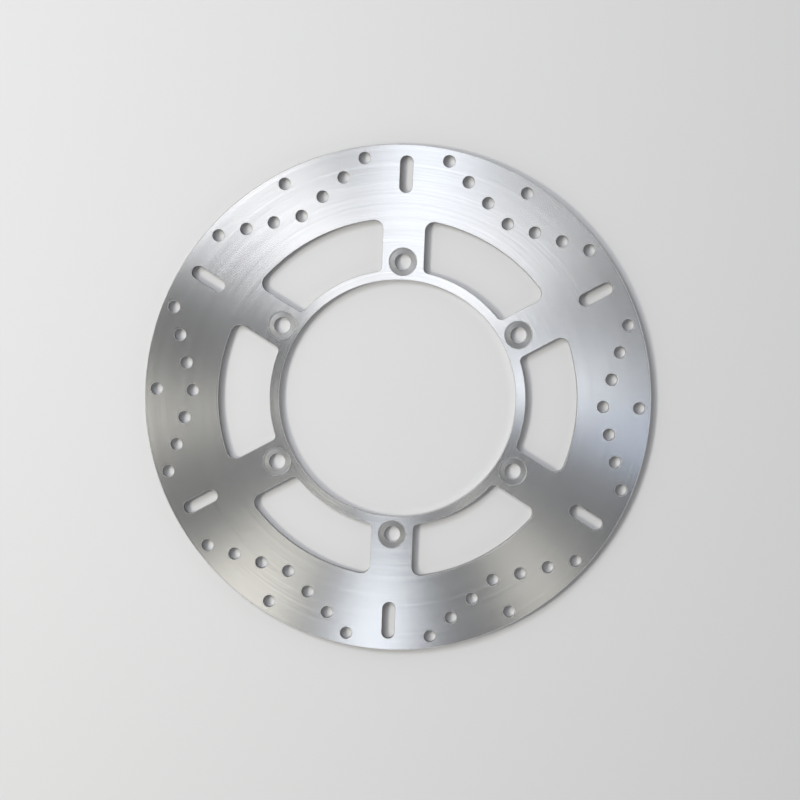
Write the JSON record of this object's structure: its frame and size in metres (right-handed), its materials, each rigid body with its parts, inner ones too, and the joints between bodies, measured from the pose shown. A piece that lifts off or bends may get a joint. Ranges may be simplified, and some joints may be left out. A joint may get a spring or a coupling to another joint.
{
  "type": "brake disc rotor",
  "caption": "Flat solid motorcycle brake disc with a large central bore, lugs with counterbored bolt holes between open windows, and a drilled and slotted ground braking band.",
  "frame": {"origin": "centre of the bore on the hub face, the flat side that bolts to the wheel hub", "axes": "+Z along the disc's axis, from the hub face to the counterbored outer face; +Y through the middle of one mounting lug, its bolt hole and its slot; +X through the middle of a window"},
  "size_m": [0.282, 0.282, 0.005],
  "materials": {
    "ground_steel": "both faces ground with fine marks that run round the disc, edges machined and lightly broken"
  },
  "bodies": {
    "root": {"brake_disc": "ground_steel"}
  },
  "joints": []
}
